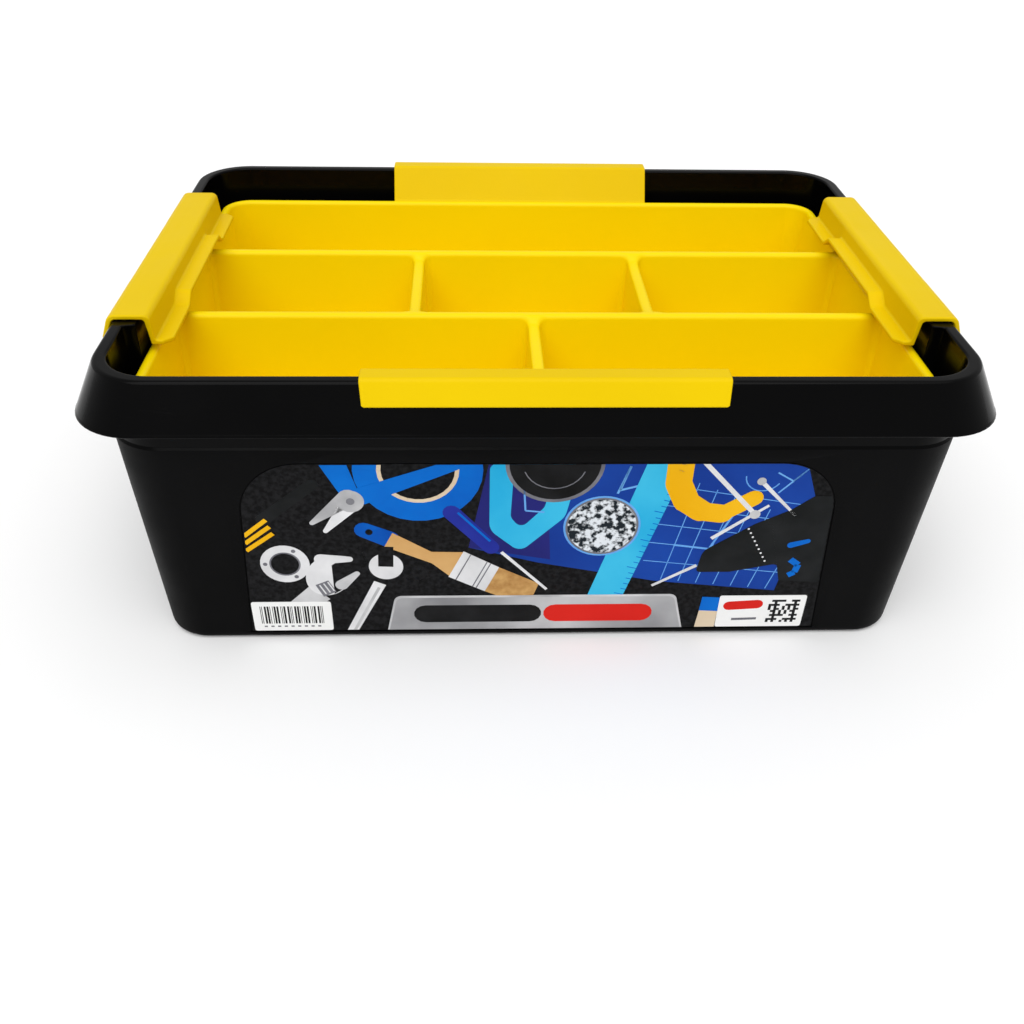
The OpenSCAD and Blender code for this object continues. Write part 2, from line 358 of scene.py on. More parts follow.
def make_tub():
    """One closed shell: up the outside wall, round the skirt and rim, and down the inside."""
    wall = fillet([
        (FOOT_OUT - 9, 0, 0),
        (FOOT_OUT, 0, 4.2),
        (FOOT_OUT + LEAN * BAND_Z, BAND_Z, 0.5),
        (FOOT_OUT + LEAN * BAND_Z - 0.8, BAND_Z + 1.4, 0.5),
        (25.0, 151.9, 0)])
    steps = [(FOOT_OUT + LEAN * z, z) for z in (6, 30, 60, 81.5, 84, 87, 90, 93, 105)]
    wall = wall[:7] + steps + wall[7:]
    under = [(25.6, 152.9), (30, 143), (35.2, 133.6)]
    lip = fillet([(35.4, 133.4, 0), (35.7, SKIRT_LOW, 0.9), (SKIRT_OUT + 0.2, SKIRT_LOW, 0.9),
                  (37.5, SKIRT_LOW + 1.6, 0)], segments=4)
    skirt = fillet([(37.2, SKIRT_LOW + 2.0, 0), (RIM_OUT, TUB_TOP, 3.2),
                    (RIM_IN + 3, TUB_TOP, 0)], segments=7)
    rim = fillet([(RIM_IN + 2.4, TUB_TOP, 0), (RIM_IN, TUB_TOP, 1.5),
                  (RIM_IN, TUB_TOP - 3, 0)], segments=5)
    inner = [(RIM_IN - 0.2 * (TUB_TOP - z) / 36, z) for z in (150, 146, 140, 132, 125, BAND_Z)]
    inner += [(RIM_IN - 0.2 - 6.8 * (BAND_Z - z) / (BAND_Z - TUB_FLOOR), z)
              for z in (112, 104, 97, 94, 91, 88, RECESS_LOW, 70, 40, 14)]
    floor = fillet([(15.9, 12, 0), (15.4, TUB_FLOOR, 6), (8, TUB_FLOOR, 0)], segments=6)
    path = [(u, z, "wall") for u, z in wall] + [(u, z, "skirt") for u, z in under + lip + skirt]
    path += [(u, z, "inner") for u, z in rim + inner + floor]
    # closely spaced where a recess ends
    ends = [86, 86.5, 86.9, 87.3, 87.8, 88.5, 89, 89.5, 89.9, 90.4, 91]
    ys = [35, 70] + ends + [100]
    ys = [-y for y in reversed(ys)] + [0] + ys
    xs = [-150, -90, -30, 30, 90, 150]
    shell = Shell()
    rings, satin = [], []
    for u, z, part in path:
        r = corner_radius(u) if part != "inner" else corner_radius(u + TUB_WALL) - TUB_WALL
        outline = rounded(CORNER_X + u, CORNER_Y + u, r, xs, ys, arc=12)
        rings.append(shell.ring([tub_point(x, y, z, u, part) for x, y in outline]))
        satin.append(part == "wall" and z < BAND_Z + 0.1)
    for i in range(len(rings) - 1):
        shell.bridge(rings[i], rings[i + 1], 1 if satin[i] and satin[i + 1] else 0)
    shell.cap(rings[0], 1)
    shell.cap(rings[-1], 0)
    return shell.build("tub_shell", [gloss_black, satin_black], sharp=50)


# The front wall's plane: x across, s up the slope, n outward.
FOOT_Y = CORNER_Y + FOOT_OUT
SLOPE = math.atan(LEAN)


def on_front(x, s, n):
    """A point of the front wall's plane in the CAD's frame."""
    return (x,
            -FOOT_Y - s * math.sin(SLOPE) - n * math.cos(SLOPE),
            s * math.cos(SLOPE) - n * math.sin(SLOPE))


def label_outline(grow=0.0, arc=14):
    """Outline of the label on the front wall: straight sides and two round upper corners."""
    foot, head, low, top, radius = 145, 138.5, 5, 111.5, 29
    shoulder = head + (foot - head) / (top - low) * radius
    tip = shoulder - radius
    out = [(-foot - grow, low - grow), (foot + grow, low - grow)]
    for centre, a0 in ((tip, 0), (-tip, 90)):
        for k in range(arc + 1):
            a = math.radians(a0 + 90 * k / arc)
            out.append((centre + (radius + grow) * math.cos(a),
                        top - radius + (radius + grow) * math.sin(a)))
    return out


def prism(shell, outline, low, high, slot=0):
    """A flat solid on the front wall, from depth low to depth high."""
    a = shell.ring([on_front(x, s, low) for x, s in outline])
    b = shell.ring([on_front(x, s, high) for x, s in outline])
    shell.bridge(a, b, slot)
    shell.cap(a, slot)
    shell.cap(b, slot)


def cut(target, outline, low, high):
    """Cuts a flat window into a shell."""
    shell = Shell()
    prism(shell, outline, low, high)
    cutter = shell.build("window_cutter", [satin_black], weighted=False)
    mod = target.modifiers.new("window", "BOOLEAN")
    mod.operation = "DIFFERENCE"
    mod.solver = "EXACT"
    mod.object = cutter
    with bpy.context.temp_override(object=target, active_object=target, selected_objects=[target]):
        bpy.ops.object.modifier_move_to_index(modifier="window", index=0)
        bpy.ops.object.modifier_apply(modifier="window")
    bpy.data.objects.remove(cutter)


tub = make_tub()
WINDOW_FLOOR = -0.8
cut(tub, label_outline(0.7), WINDOW_FLOOR, 3)
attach(tub, "tub")
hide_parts("tub")


# ---------------------------------------------------------------- tray

# Pockets are (middle x, middle y, width, depth, corner radii), with dividers between them.
DIVIDER = 6
SPACE_X, SPACE_Y = 2 * TRAY_X - 10, 2 * TRAY_Y - 10
ROW = (SPACE_Y - 2 * DIVIDER) / 3
THIRD = (SPACE_X - 2 * DIVIDER) / 3
HALF = (SPACE_X - DIVIDER) / 2
WIDE, TIGHT = 11, 4.2
POCKETS = [(0, ROW + DIVIDER, SPACE_X, ROW, (WIDE, WIDE, TIGHT, TIGHT))]
POCKETS += [(i * (THIRD + DIVIDER), 0, THIRD, ROW, (TIGHT,) * 4) for i in (-1, 0, 1)]
POCKETS += [(-(HALF + DIVIDER) / 2, -ROW - DIVIDER, HALF, ROW, (TIGHT, TIGHT, WIDE, TIGHT))]
POCKETS += [((HALF + DIVIDER) / 2, -ROW - DIVIDER, HALF, ROW, (TIGHT, TIGHT, TIGHT, WIDE))]
LOW_DIVIDERS = [(-(THIRD + DIVIDER) / 2, 0), ((THIRD + DIVIDER) / 2, 0), (0, -ROW - DIVIDER)]
# How much lower the short dividers are, and the height over which the walls give way.
NOTCH, NOTCH_FADE = 4.2, 16


def tray_point(x, y, z):
    """Lowers the short dividers, with a smooth rise to the long ones at both ends."""
    depth = 0
    for dx, dy in LOW_DIVIDERS:
        across = smooth((9.5 - abs(x - dx)) / 5)
        along = smooth((ROW / 2 + 1.5 - abs(y - dy)) / 8)
        depth = max(depth, NOTCH * across * along)
    fade = max(0, min(1, (z - TRAY_TOP + NOTCH_FADE) / NOTCH_FADE))
    return (x, y, z - depth * fade)


def make_tray():
    """Compartments, outside and hollow dividers in one closed shell, joined by flat fills."""
    shell = Shell()
    lip, floor = 2.3, -52.6
    profile = quarter(lip, 6) + [(-0.035 * (d - lip), -d) for d in (3.5, 6, 9, 13, 17, 30, 45)]
    profile += fillet([(-1.55, -46, 0), (-1.8, floor, 7), (-12, floor, 0)], segments=7)[1:]
    loops = []
    for cx, cy, w, d, corners in POCKETS:
        xs = [t * w / 2 for t in (-0.7, -0.5, -0.3, -0.1, 0.1, 0.3, 0.5, 0.7)]
        ys = [t * d / 2 for t in (-0.6, -0.4, -0.2, 0, 0.2, 0.4, 0.6)]
        rings = []
        for e, z in profile:
            radii = tuple(max(r + e, 1.2) for r in corners)
            outline = rounded(w / 2 + e, d / 2 + e, radii, xs, ys, arc=9)
            rings.append(shell.ring([tray_point(cx + x, cy + y, TRAY_TOP + z) for x, y in outline]))
        for a, b in zip(rings, rings[1:]):
            shell.bridge(a, b)
        shell.cap(rings[-1])
        loops.append(rings[0])
    edge = quarter(2.4, 5) + [(0, -3.6)]
    edge += fillet([(0, -4.0, 0), (0, -5, 0.7), (2.6, -5, 0.7), (3.0, -8, 0)], segments=3)
    edge += [(3.1, -12), (3.9, -40)]
    edge += fillet([(4.0, -44, 0), (4.6, -TRAY_HEIGHT, 4), (14, -TRAY_HEIGHT, 0)], segments=5)
    xs = [t * TRAY_X for t in (-0.8, -0.6, -0.4, -0.2, 0, 0.2, 0.4, 0.6, 0.8)]
    ys = [t * TRAY_Y for t in (-0.75, -0.5, -0.25, 0, 0.25, 0.5, 0.75)]
    rings = []
    for e, z in edge:
        outline = rounded(TRAY_X - e, TRAY_Y - e, max(17 - e, 3), xs, ys, arc=10)
        rings.append(shell.ring([(x, y, TRAY_TOP + z) for x, y in outline]))
    for a, b in zip(rings, rings[1:]):
        shell.bridge(a, b)
    flat_fill(shell, rings[0], loops, lambda x, y: tray_point(x, y, TRAY_TOP))
    # hollow dividers, open underneath
    hollow, ends = 5.4, 8
    cores = [(0, s * (ROW + DIVIDER) / 2, SPACE_X - ends, hollow) for s in (-1, 1)]
    cores += [(dx, dy, hollow, ROW - ends) for dx, dy in LOW_DIVIDERS]
    holes = []
    for cx, cy, w, d in cores:
        inner = []
        for e, z in ((0, -TRAY_HEIGHT), (-0.5, -40), (-1.6, -9), (-2.0, -7.4)):
            outline = rounded(w / 2 + e, d / 2 + e, min(w, d) / 2 + e - 0.05, arc=4)
            inner.append(shell.ring([(cx + x, cy + y, TRAY_TOP + z) for x, y in outline]))
        for a, b in zip(inner, inner[1:]):
            shell.bridge(a, b)
        shell.cap(inner[-1])
        holes.append(inner[0])
    flat_fill(shell, rings[-1], holes, lambda x, y: (x, y, TRAY_LOW))
    return shell.build("tray_shell", [yellow], sharp=55)


def flat_fill(shell, outer, holes, place):
    """Fills the flat area between an outer loop and its holes with triangles."""
    index, flat, edges = [], [], []
    for loop in [outer] + holes:
        start = len(index)
        index += loop
        flat += [Vector(shell.points[i][:2]) for i in loop]
        edges += [(start + i, start + (i + 1) % len(loop)) for i in range(len(loop))]
    points, _, tris, origin, _, _ = delaunay_2d_cdt(flat, edges, [], 1, 1e-6)
    ids = []
    for p, source in zip(points, origin):
        if source:
            ids.append(index[source[0]])
        else:
            ids.append(shell.ring([place(p.x, p.y)])[0])
    polygons = [[Vector(shell.points[i][:2]) for i in loop] for loop in holes]
    for tri in tris:
        centre = sum((points[i] for i in tri), Vector((0, 0))) / 3
        if not any(inside(centre, polygon) for polygon in polygons):
            shell.faces.append(tuple(ids[i] for i in tri))
            shell.slots.append(0)


def inside(p, polygon):
    """Whether a point is in a polygon."""
    hit = False
    for i, a in enumerate(polygon):
        b = polygon[i - 1]
        if (a.y > p.y) != (b.y > p.y) and p.x < (b.x - a.x) * (p.y - a.y) / (b.y - a.y) + a.x:
            hit = not hit
    return hit


tray = make_tray()
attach(tray, "tray")
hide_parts("tray")


# ---------------------------------------------------------------- hangers

def skirt_at(z):
    """Outer face of the skirt beyond the corner centres, at height z."""
    return RIM_OUT + (SKIRT_OUT - RIM_OUT) * (TUB_TOP - z) / SKIRT_HIGH


def strip(stations, half, section_at, place):
    """A moulded strip swept along its length, both ends rounded by a small edge."""
    edge = 0.8
    stations = {(t, 0.0) for t in stations}
    stations |= {(s * (half - e), -z) for e, z in quarter(edge, 3) for s in (-1, 1)}
    sections = []
    for t, depth in sorted(stations):
        section = section_at(t)
        ring = inset(section, -depth if clockwise(section) else depth)
        sections.append([place(t, u, z) for u, z in ring])
    shell = Shell()
    shell.loft(sections)
    return shell


def clockwise(section):
    """Whether a closed section runs clockwise."""
    area = sum(a[0] * b[1] - b[0] * a[1] for a, b in zip(section, section[1:] + section[:1]))
    return area < 0


HANGER_HALF = 80.5


def make_hanger(side):
    """One hanger: from the tray's lip up the inside of the rim, over it and down outside."""
    foot = CORNER_Y + skirt_at(HOOK_FOOT) + HOOK_GAP
    top = CORNER_Y + skirt_at(HOOK_UNDER) + 2 * HOOK_GAP
    inner = CORNER_Y + RIM_IN - 0.65
    section = fillet([
        (TRAY_Y - 4, TRAY_TOP - 3, 0),
        (TRAY_Y - 0.5, TRAY_TOP - 3, 1),
        (inner, HOOK_UNDER - 4, 3),
        (inner + 0.8, HOOK_UNDER, 0.8),
        (top, HOOK_UNDER, 0.8),
        (foot, HOOK_FOOT, 0.5),
        (foot + HOOK_WALL, HOOK_FOOT, 0.9),
        (top + 1.7, HOOK_TOP, 2.4),
        (inner - 1.2, HOOK_TOP, 2.2),
        (TRAY_Y - 1.6, TRAY_TOP + 0.2, 5),
        (TRAY_Y - 4, TRAY_TOP - 0.6, 0)], closed=True)

    def place(x, u, z):
        foot_round = 1.3 * (1 - smooth((z - HOOK_FOOT) / 2.2)) if u > top + 1 else 0
        near = smooth((abs(x) - HANGER_HALF + 14) / 14)
        return (x - math.copysign(foot_round * near, x), side * u, z)

    shell = strip((-72, -48, -24, 0, 24, 48, 72), HANGER_HALF, lambda x: section, place)
    name = "hanger_back" if side > 0 else "hanger_front"
    piece = shell.build(name, [yellow_clip], sharp=60)
    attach(piece, "tray")


for side in (-1, 1):
    make_hanger(side)


# ---------------------------------------------------------------- side clips

LEDGE = clip_lo.z + HOOK_WALL
LEDGE_IN = clip_lo.x
LEDGE_REACH = 8.2
CLIP_HALF = clip_hi.y


def clip_section(y):
    """Section of the right-hand clip at a distance y from its middle."""
    away = abs(y)
    ledge = LEDGE + 5 * smooth((46.5 - away) / 10)
    relief = HOOK_FOOT + 3.5 * smooth((42 - away) / 3)
    inner = LEDGE_IN + 4 * smooth((away - CLIP_HALF + 5) / 5)
    leg = LEDGE_IN + LEDGE_REACH
    foot = CORNER_X + skirt_at(relief) + HOOK_GAP
    top = CORNER_X + skirt_at(HOOK_UNDER) + 2 * HOOK_GAP
    return fillet([
        (foot, relief, 0.5),
        (foot + HOOK_WALL, relief, 0.9),
        (top + 1.9, HOOK_TOP, 4.4),
        (leg + 0.9, HOOK_TOP, 3.2),
        (leg - 0.5, ledge, 1.4),
        (inner, ledge, 0.9),
        (inner, ledge - HOOK_WALL, 0.9),
        (leg + 1.7, ledge - HOOK_WALL, 0.8),
        (leg + 3.4, HOOK_UNDER, 1.6),
        (top, HOOK_UNDER, 2.2)], closed=True, segments=5)


def make_clip(side):
    """One side clip; its stations are close together on the slopes of the grip and the relief."""
    half = [0, 12, 24, 33, 36.5, 37.5, 39, 40, 41, 42, 43.5, 45, 46.5, 48,
            56, 66, 74, 79, 80, 81.5, 83]
    stations = [s * y for y in half for s in (-1, 1)]
    shell = strip(stations, CLIP_HALF, clip_section, lambda y, x, z: (side * x, y, z))
    node = "right_clip" if side > 0 else "left_clip"
    piece = shell.build(node + "_shell", [yellow_clip], sharp=60)
    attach(piece, node)
    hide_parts(node)


for side in (-1, 1):
    make_clip(side)


# ---------------------------------------------------------------- label and stickers

# Heights above the front wall's face; the label's back lies just above the window's floor.
LABEL_BACK = WINDOW_FLOOR + 0.02
LABEL_FACE = -0.3
STICKER_FACE = -0.05


def printed(name, colour, shade, scale, gloss=0.32, sharpness=0.2):
    """Printed ink: two tones in soft patches, with a little uneven gloss."""
    n = Nodes("print_" + name)
    patches = n.remap(n.noise(scale, 5), 0.5 - sharpness, 0.5 + sharpness, 0, 1)
    n.colour(n.blend(patches, colour, shade))
    cloud = n.remap(n.noise(25, 3), 0.3, 0.7, gloss - 0.05, gloss + 0.06)
    n.join(cloud, n.shader.inputs["Roughness"])
    n.join(n.bump(n.noise(500, 2), 0.00002), n.shader.inputs["Normal"])
    n.set(Specular_IOR_Level=0.07)
    return n.material


INKS = {
    "charcoal": printed("charcoal", (0.0015, 0.0015, 0.0017), (0.010, 0.010, 0.011), 420,
                        sharpness=0.12),
    "blueprint": printed("blueprint", (0.004, 0.025, 0.21), (0.008, 0.06, 0.36), 14),
    "navy": printed("navy", (0.012, 0.015, 0.13), (0.02, 0.02, 0.19), 20),
    "line": printed("line", (0.10, 0.30, 0.72), (0.16, 0.42, 0.80), 60),
    "blue": printed("blue", (0.0, 0.105, 0.50), (0.0, 0.16, 0.62), 25),
    "grip": printed("grip", (0.0, 0.055, 0.34), (0.0, 0.10, 0.48), 60),
    "cyan": printed("cyan", (0.01, 0.36, 0.66), (0.05, 0.50, 0.76), 18),
    "steel": printed("steel", (0.36, 0.36, 0.37), (0.66, 0.66, 0.67), 40),
    "pale": printed("pale", (0.60, 0.60, 0.61), (0.80, 0.80, 0.81), 50),
    "dark_steel": printed("dark_steel", (0.12, 0.12, 0.14), (0.22, 0.22, 0.24), 60),
    "wood": printed("wood", (0.56, 0.30, 0.10), (0.68, 0.42, 0.17), 45),
    "bristle": printed("bristle", (0.40, 0.20, 0.06), (0.58, 0.34, 0.12), 260),
    "yellow": printed("yellow", (0.80, 0.40, 0.0), (0.88, 0.48, 0.01), 30),
    "black": printed("black", (0.004, 0.004, 0.004), (0.012, 0.012, 0.013), 80),
    "screws": printed("screws", (0.01, 0.015, 0.02), (0.72, 0.76, 0.80), 380, sharpness=0.07),
    "red": printed("red", (0.62, 0.012, 0.008), (0.68, 0.02, 0.012), 30),
    "plate": printed("plate", (0.22, 0.22, 0.23), (0.60, 0.60, 0.61), 13),
    "white": printed("white", (0.84, 0.84, 0.83), (0.88, 0.88, 0.87), 40),
    "rubber": printed("rubber", (0.005, 0.006, 0.006), (0.014, 0.015, 0.016), 60),
    "handle": printed("handle", (0.012, 0.02, 0.24), (0.02, 0.035, 0.34), 30),
    "cream": printed("cream", (0.66, 0.52, 0.36), (0.72, 0.60, 0.44), 40),
}
INK_SLOT = {name: i for i, name in enumerate(INKS)}


def clipped(outline, frame_line):
    """The part of an outline inside a convex counter-clockwise frame."""
    for i, a in enumerate(frame_line):
        b = frame_line[(i + 1) % len(frame_line)]
        side = [(b[0] - a[0]) * (p[1] - a[1]) - (b[1] - a[1]) * (p[0] - a[0]) for p in outline]
        kept = []
        for j, p in enumerate(outline):
            q, sp, sq = outline[j - 1], side[j], side[j - 1]
            if (sp >= 0) != (sq >= 0):
                t = sq / (sq - sp)
                kept.append((q[0] + t * (p[0] - q[0]), q[1] + t * (p[1] - q[1])))
            if sp >= 0:
                kept.append(p)
        outline = kept
        if len(outline) < 3:
            return []
    return outline


class Picture(Shell):
    """Flat printed shapes in layers on the front wall, each a thin closed solid."""

    SUNK, STEP = 0.05, 0.03

    def __init__(self, face, frame_line):
        super().__init__()
        self.face, self.frame_line = face, frame_line

    def shape(self, outline, ink, level):
        outline = clipped(outline, self.frame_line)
        if len(outline) >= 3:
            high = self.face + self.STEP * level
            prism(self, outline, self.face - self.SUNK, high, INK_SLOT[ink])

    def disc(self, x, s, r, ink, level, squash=1.0, turn=0.0, points=40):
        c0, s0 = math.cos(math.radians(turn)), math.sin(math.radians(turn))
        outline = []
        for k in range(points):
            a = 2 * math.pi * k / points
            u, v = r * math.cos(a), r * squash * math.sin(a)
            outline.append((x + u * c0 - v * s0, s + u * s0 + v * c0))
        self.shape(outline, ink, level)

    def hoop(self, x, s, outer, inner, ink, level, start=0, end=360):
        """A ring or an arc of one, drawn as short pieces that meet."""
        steps = max(4, round(abs(end - start) / 12))
        for k in range(steps):
            a, b = (math.radians(start + (end - start) * (k + d) / steps) for d in (0, 1.02))
            self.shape([(x + r * math.cos(t), s + r * math.sin(t))
                        for r, t in ((inner, a), (outer, a), (outer, b), (inner, b))], ink, level)

    def bar(self, a, b, wide, ink, level, narrow=None, ends=0):
        """A straight bar from a to b; its ends are round where ends is 1."""
        a, b = Vector(a), Vector(b)
        u = (b - a).normalized()
        v = Vector((-u.y, u.x))
        w0, w1 = wide / 2, (wide if narrow is None else narrow) / 2
        outline = []
        for p, w, turn in ((b, w1, 1), (a, w0, -1)):
            steps = 7 if ends else 1
            for k in range(steps + 1):
                t = math.pi * (0.5 - k / steps) if turn > 0 else math.pi * (1.5 - k / steps)
                q = p + v * (w * math.sin(t)) + u * (w * math.cos(t) if ends else 0)
                outline.append((q.x, q.y))
        outline.reverse()
        self.shape(outline, ink, level)

    def lines(self, points, wide, ink, level):
        for a, b in zip(points, points[1:]):
            self.bar(a, b, wide, ink, level)


def draw_label(art):
    """A generic still life of hand tools on a dark bench and a blue drawing."""
    sheet = [(-24, 114), (-34, 61), (0, 51), (60, 38), (121, 31), (130, 92), (122, 114)]
    art.shape(sheet, "blueprint", 1)
    art.shape([(-24, 114), (-34, 61), (6, 53), (2, 114)], "navy", 2)
    for k in range(7):
        art.bar((62 + 9 * k, 39 - 1.1 * k), (74 + 9 * k, 100 - 4 * k), 0.45, "line", 2)
    for k in range(5):
        art.bar((52, 52 + 12 * k), (124, 43 + 11 * k), 0.45, "line", 2)
    art.lines([(66, 62), (92, 58), (84, 60), (94, 84)], 1.1, "line", 3)
    art.lines([(36, 94), (41, 110), (37, 96), (47, 99)], 1.1, "line", 3)
    art.lines([(112, 94), (124, 108), (118, 101), (110, 106)], 0.8, "line", 3)
    art.hoop(104, 104, 9, 8.4, "line", 3, 180, 330)
    # tape roll
    art.hoop(-57, 108, 30, 18.5, "blue", 2)
    art.hoop(-57, 108, 19, 17, "cream", 3)
    # pliers
    art.bar((-96, 113), (-88, 92), 12, "blue", 4, 8, ends=1)
    art.bar((-40, 111), (-84, 93), 6, "blue", 5, 10, ends=1)
    art.bar((-90, 92), (-108, 77), 10, "steel", 6, 2.4, ends=1)
    art.bar((-88, 90), (-102, 72), 10, "pale", 6, 2.4, ends=1)
    art.disc(-89, 90, 6.4, "steel", 7)
    art.disc(-89, 90, 2.0, "dark_steel", 8)
    # folding knife
    art.bar((-131, 79), (-106, 100), 6.5, "rubber", 3, 6, ends=1)
    for k in range(3):
        art.bar((-141, 69 - 4.6 * k), (-129.5 + 1.2 * k, 79 - 4.2 * k), 2.3, "yellow", 4)
    # flange ring
    art.hoop(-123.5, 51, 12, 7, "pale", 3)
    art.hoop(-123.5, 51, 7.6, 6.8, "dark_steel", 4)
    for turn in (60, 180, 300):
        a = math.radians(turn)
        x, s = -123.5 + 9.6 * math.cos(a), 51 + 9.6 * math.sin(a)
        art.disc(x, s, 1.1, "dark_steel", 4, points=14)
    # adjustable wrench
    art.bar((-146, -4), (-108, 32), 9, "steel", 3, 13)
    art.disc(-103, 43, 13.5, "pale", 4, 0.8, 65)
    art.shape([(-101, 31), (-82, 44), (-86, 62), (-101, 50)], "charcoal", 5)
    art.bar((-106, 54), (-92, 54), 6.5, "pale", 6, 3.4, ends=1)
    art.bar((-97, 37), (-89, 44.5), 6.5, "steel", 6, 3, ends=1)
    art.shape([(-110, 37), (-103.5, 40), (-100, 32.5), (-106.5, 29)], "dark_steel", 7)
    for k in range(3):
        art.bar((-108 + 2.1 * k, 37 + k), (-105.2 + 2.1 * k, 31 + k), 0.7, "pale", 8)
    # open-ended spanner
    art.bar((-97, -2), (-78, 38), 5, "pale", 3, 6.4)
    art.bar((-96, -2), (-78.6, 35), 1.5, "steel", 4)
    art.disc(-74.5, 49, 8.4, "pale", 5)
    art.bar((-74.6, 49), (-74, 62), 7.4, "charcoal", 6)
    # flat brush
    art.bar((-84, 72.5), (-72, 66.5), 9, "grip", 4, 10, ends=1)
    art.disc(-81.5, 71.2, 1.8, "charcoal", 7, points=16)
    art.shape([(-74.6, 62), (-70.4, 70.6), (-52, 58.4), (-36, 58), (-43, 42), (-52, 51)], "wood", 5)
    art.shape([(-44, 42), (-36.4, 58.6), (-19, 48), (-26, 32)], "pale", 6)
    for t in (0.2, 0.66, 0.76):
        a, b = (-44 + 18 * t, 42 - 10 * t), (-36.4 + 17.4 * t, 58.6 - 10.6 * t)
        art.bar(a, b, 0.6, "dark_steel", 7)
    art.shape([(-26, 32), (-19, 48), (1, 37), (-4, 21)], "bristle", 5)
    # screwdriver
    art.bar((-42, 83), (-23, 61), 8.5, "handle", 4, 8, ends=1)
    art.bar((-39, 83), (-23.5, 65), 1.2, "blue", 5)
    art.bar((-18, 58), (5, 33), 1.7, "pale", 6, 1.4)
    # rounded protractor
    outside = [(-24, 112, 4), (-24, 72, 10), (-9, 58, 5), (12, 80, 10), (18, 112, 4)]
    inside_line = [(-13, 106, 3), (-14, 80, 6), (-9, 73, 4), (2, 86, 6), (6, 106, 3)]
    art.shape(fillet(outside, closed=True), "cyan", 3)
    art.shape(fillet(inside_line, closed=True), "navy", 4)
    art.lines([(-8, 98), (-7, 84), (2, 83)], 0.9, "line", 5)
    # tin
    art.disc(6, 112, 23, "dark_steel", 5)
    art.disc(6, 112, 21.2, "black", 6)
    art.hoop(6, 112, 15, 14.5, "dark_steel", 7, 200, 340)
    # ruler
    art.shape([(26, 29), (44, 29), (68, 114), (49, 114)], "cyan", 4)
    for k in range(24):
        t = k / 24
        size = 4.6 if k % 5 == 0 else 2.6
        x, s = 44 + 24 * t, 29 + 85 * t
        art.bar((x, s), (x - size, s + 0.28 * size), 0.45, "blue", 5)
    # dish of screws
    art.disc(30, 74, 18.6, "line", 6)
    art.disc(30, 74, 17.6, "dark_steel", 7)
    art.disc(30, 74, 16.6, "screws", 8)
    # clamp
    clamp = [(64, 118), (64, 100), (69, 89), (77, 83), (87, 81.5), (101, 91)]
    for k, wide in enumerate((12.5, 12.5, 12, 11, 9)):
        art.bar(clamp[k], clamp[k + 1], wide, "yellow", 5 + 0.2 * k, ends=1)
    art.bar((75, 112), (104, 80), 2.4, "pale", 6)
    art.bar((84, 66), (109, 86.5), 2.0, "pale", 5, 1.4)
    art.disc(103, 81, 2.6, "steel", 7)
    # loose screw
    art.bar((103, 101), (123, 80), 2.2, "pale", 6, 1.2)
    art.disc(103, 101, 2.2, "steel", 7, points=14)
    # drill
    chuck = [(79, 44, 2), (81, 58, 8), (104, 75, 6), (128, 88, 3),
             (136, 74, 3), (136, 38, 3), (118, 49, 4), (96, 44, 6)]
    art.shape(fillet(chuck, closed=True), "rubber", 5)
    art.shape([(112, 77), (130, 92), (150, 92), (150, 36), (122, 38)], "rubber", 6)
    art.bar((79, 48.5), (58, 35), 1.8, "pale", 5, 1.4)
    for k in range(9):
        art.disc(101.5 + 1.4 * k, 72 - 2.6 * k, 0.55, "pale", 7, points=10)
    art.bar((124, 61.5), (132, 64), 3.6, "blue", 7, 2.6, ends=1)
    art.lines([(125.5, 52), (130, 48.5), (129, 43.5), (126, 41.5)], 3.4, "blue", 7)
    # marker
    art.bar((88.4, 3), (89.2, 17), 10.5, "cream", 5, 9.6)
    art.bar((89.2, 17), (89.8, 26.5), 9.8, "blue", 6)
    # name plate, left blank but for two plain bars
    plate = fillet([(-76, 4, 0), (77, 4, 0), (71, 29, 4), (-71, 29, 4)], closed=True, segments=6)
    art.shape(plate, "steel", 8)
    art.shape([(x * 0.988, 4 + (s - 4) * 0.95) for x, s in plate], "plate", 9)
    art.bar((-56, 16.5), (-3, 16.5), 12, "black", 10, ends=1)
    art.bar((10, 16.5), (54, 16.5), 12, "red", 10, ends=1)


def sticker_outline(x0, s0, x1, s1):
    """A rectangle with slightly rounded corners."""
    r = 1.2
    return fillet([(x0, s0, r), (x1, s0, r), (x1, s1, r), (x0, s1, r)], closed=True, segments=4)


def draw_barcode(art, x0, s0, x1, s1):
    """Plain bars of mixed widths; they carry no code."""
    x = x0 + 4
    k = 0
    while x < x1 - 4.5:
        wide = 0.35 + 0.3 * ((k * k + 3 * k) % 4)
        art.shape([(x, s0 + 5), (x + wide, s0 + 5), (x + wide, s1 - 3), (x, s1 - 3)], "black", 1)
        x += wide + 0.45 + 0.25 * ((7 * k + k * k) % 3)
        k += 1
    for k in range(9):
        art.bar((x0 + 5 + 3.4 * k, s0 + 3), (x0 + 6.6 + 3.4 * k, s0 + 3), 1.0, "dark_steel", 1)


def draw_info(art, x0, s0, x1, s1):
    """A plain red pill, a grey line and a block of squares; they say nothing."""
    art.bar((x0 + 5.5, s1 - 7), (x0 + 20, s1 - 6), 6, "red", 1, ends=1)
    art.bar((x0 + 8, s0 + 5.4), (x0 + 21, s0 + 5.8), 1.6, "dark_steel", 1)
    side, count = 16.0, 11
    cell = side / count
    for i in range(count):
        for j in range(count):
            if (i * i * 3 + j * 5 + i * j) % 7 in (0, 2, 5):
                x, s = x1 - 3 - side + i * cell, s0 + 3 + j * cell
                art.shape([(x, s), (x + cell, s), (x + cell, s + cell), (x, s + cell)], "black", 1)


def front_piece(shell, name, node):
    """Adds a printed piece that rides on the tub and may stand in for a CAD node."""
    piece = shell.build(name, list(INKS.values()), weighted=False)
    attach(piece, "tub")
    if node:
        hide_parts(node)


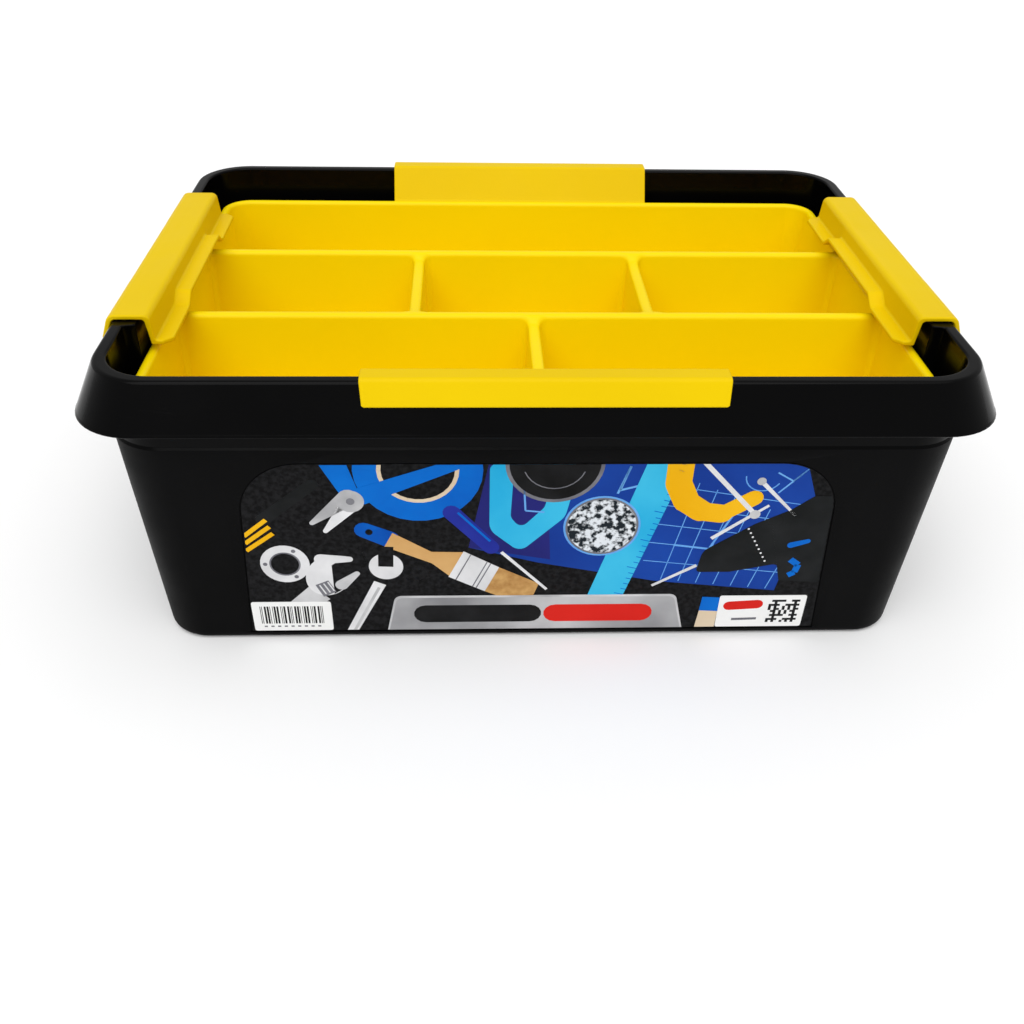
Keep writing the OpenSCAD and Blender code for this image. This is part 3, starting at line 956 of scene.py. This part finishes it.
def make_label():
    """The label and the two stickers: a sheet and a printed picture for each."""
    sheet = Shell()
    prism(sheet, label_outline(), LABEL_BACK, LABEL_FACE, INK_SLOT["charcoal"])
    front_piece(sheet, "label_sheet", "label")
    art = Picture(LABEL_FACE, label_outline(-0.4))
    draw_label(art)
    front_piece(art, "label_picture", None)
    for node, lo, hi, draw in (("barcode_sticker", bar_lo, bar_hi, draw_barcode),
                               ("info_sticker", info_lo, info_hi, draw_info)):
        s0, s1 = lo.z / math.cos(SLOPE), hi.z / math.cos(SLOPE)
        outline = sticker_outline(lo.x, s0, hi.x, s1)
        sheet = Shell()
        prism(sheet, outline, LABEL_FACE, STICKER_FACE, INK_SLOT["white"])
        front_piece(sheet, node + "_sheet", node)
        art = Picture(STICKER_FACE, outline)
        draw(art, lo.x, s0, hi.x, s1)
        front_piece(art, node + "_print", None)


make_label()


# ---------------------------------------------------------------- camera, floor and light

def camera():
    """Stands where the photograph was taken from, looking down at the front."""
    eye = (-0.0333, -0.5526, 0.3783)
    pitch, yaw, roll = (math.radians(a) for a in (35.5, 2.76, 1.34))
    level = math.cos(pitch)
    ahead = Vector((math.sin(yaw) * level, math.cos(yaw) * level, -math.sin(pitch)))
    right = Vector((math.cos(yaw), -math.sin(yaw), 0))
    up = right.cross(ahead)
    c, s = math.cos(roll), math.sin(roll)
    right, up = c * right + s * up, c * up - s * right
    data = bpy.data.cameras.new("camera")
    data.lens = 37.8
    data.sensor_width = 36
    data.clip_start = 0.01
    cam = bpy.data.objects.new("camera", data)
    bpy.context.collection.objects.link(cam)
    turn = Matrix((right, up, -ahead)).transposed().to_4x4()
    cam.matrix_world = Matrix.Translation(eye) @ turn
    bpy.context.scene.camera = cam


def floor():
    """A pale floor just under the tub, with hardly visible patches."""
    half, drop = 6000, 0.05
    n = Nodes("pale_floor")
    patches = n.remap(n.noise(3, 2), 0.3, 0.7, 0, 1)
    n.colour(n.blend(patches, (0.97, 0.97, 0.97), (0.95, 0.95, 0.95)))
    n.set(Roughness=0.9, Specular_IOR_Level=0.1)
    shell = Shell()
    corners = ((-1, -1), (1, -1), (1, 1), (-1, 1))
    shell.cap(shell.ring([(x * half, y * half, -drop) for x, y in corners]))
    plane = shell.build("floor", [n.material], weighted=False)


def sun(name, azimuth, height, strength, angle):
    """A wide soft sun; azimuth 0 shines from the front, height is degrees above the floor."""
    data = bpy.data.lights.new(name, "SUN")
    data.energy = strength
    data.angle = math.radians(angle)
    lamp = bpy.data.objects.new(name, data)
    bpy.context.collection.objects.link(lamp)
    a, h = math.radians(azimuth), math.radians(height)
    source = Vector((math.sin(a) * math.cos(h), -math.cos(a) * math.cos(h), math.sin(h)))
    lamp.rotation_euler = source.to_track_quat("Z", "Y").to_euler()


def studio():
    """A dim white world with two wide suns, so that shadows stay soft."""
    world = bpy.data.worlds.new("studio")
    world.use_nodes = True
    world.node_tree.nodes["Background"].inputs["Color"].default_value = (1, 1, 1, 1)
    world.node_tree.nodes["Background"].inputs["Strength"].default_value = 0.58
    bpy.context.scene.world = world
    sun("key", -14, 55, 1.5, 60)
    sun("top", 40, 78, 0.55, 60)
    bpy.context.scene.view_settings.view_transform = "Standard"


camera()
floor()
studio()
